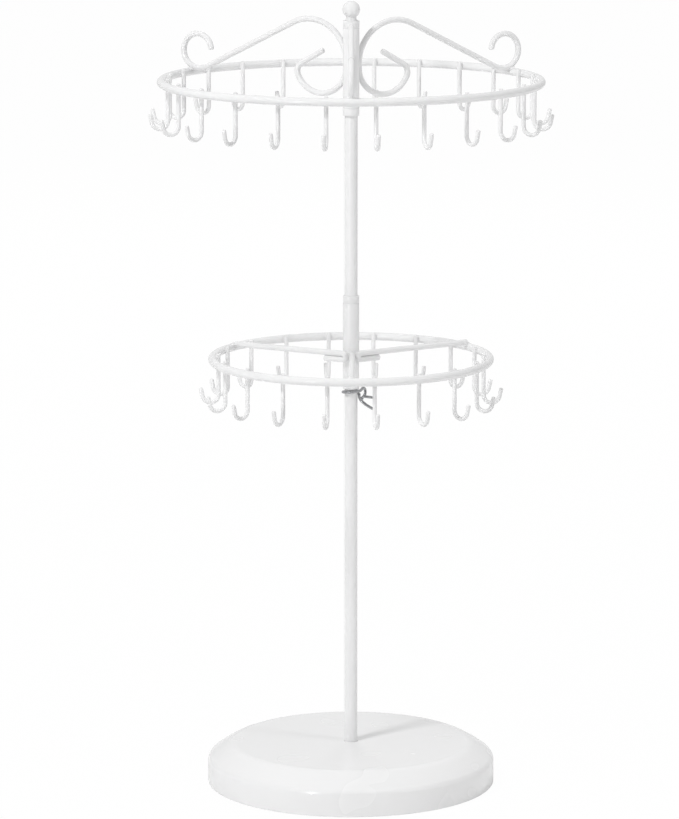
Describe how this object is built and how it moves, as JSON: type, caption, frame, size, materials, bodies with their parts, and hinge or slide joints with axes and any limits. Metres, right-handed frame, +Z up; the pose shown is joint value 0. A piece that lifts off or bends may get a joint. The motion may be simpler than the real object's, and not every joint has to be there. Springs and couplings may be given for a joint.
{
  "type": "necklace stand",
  "caption": "Free-standing necklace holder: weighted round base, slim pole, and turning rings of J hooks carried by scroll wires above and straight arms below.",
  "frame": {"origin": "on the table, under the middle of the base", "axes": "+Z up along the pole, -Y towards the front scroll and the front straight arm"},
  "size_m": [0.2072, 0.2072, 0.41],
  "materials": {
    "gloss_white": "gloss moulded",
    "powder_white": "semi-gloss powder coat",
    "bush_white": "moulded nylon",
    "weight_iron": "raw",
    "pad_rubber": "foam rubber",
    "chrome": "bright spring wire"
  },
  "bodies": {
    "stand": {"base_cover": "gloss_white", "base_weight": "weight_iron", "base_pad": "pad_rubber", "pole": "powder_white", "finial": "powder_white"},
    "clip": {"clip_spring": "chrome"},
    "top_tier": {"top_sleeve": "powder_white", "top_cap_bush": "bush_white", "top_foot_bush": "bush_white", "top_ring": "powder_white", "scroll_front": "powder_white", "scroll_right": "powder_white", "scroll_left": "powder_white", "top_hooks_right": "powder_white", "top_hooks_back": "powder_white", "top_hooks_left": "powder_white"},
    "lower_tier": {"lower_sleeve": "powder_white", "lower_head_bush": "bush_white", "lower_foot_bush": "bush_white", "lower_ring": "powder_white", "arm_front": "powder_white", "arm_right": "powder_white", "arm_left": "powder_white", "lower_hooks_right": "powder_white", "lower_hooks_back": "powder_white", "lower_hooks_left": "powder_white"}
  },
  "joints": [
    {"name": "top_tier_turn", "type": "hinge", "parent": "stand", "child": "top_tier", "pos_m": [0, 0, 0.3687], "axis": [0, 0, 1], "continuous": true},
    {"name": "clip_slide", "type": "slide", "parent": "stand", "child": "clip", "axis": [0, 0, 1], "range_m": [-0.175, 0.092]},
    {"name": "lower_tier_turn", "type": "hinge", "parent": "clip", "child": "lower_tier", "pos_m": [0, 0, 0.2248], "axis": [0, 0, 1], "continuous": true}
  ]
}
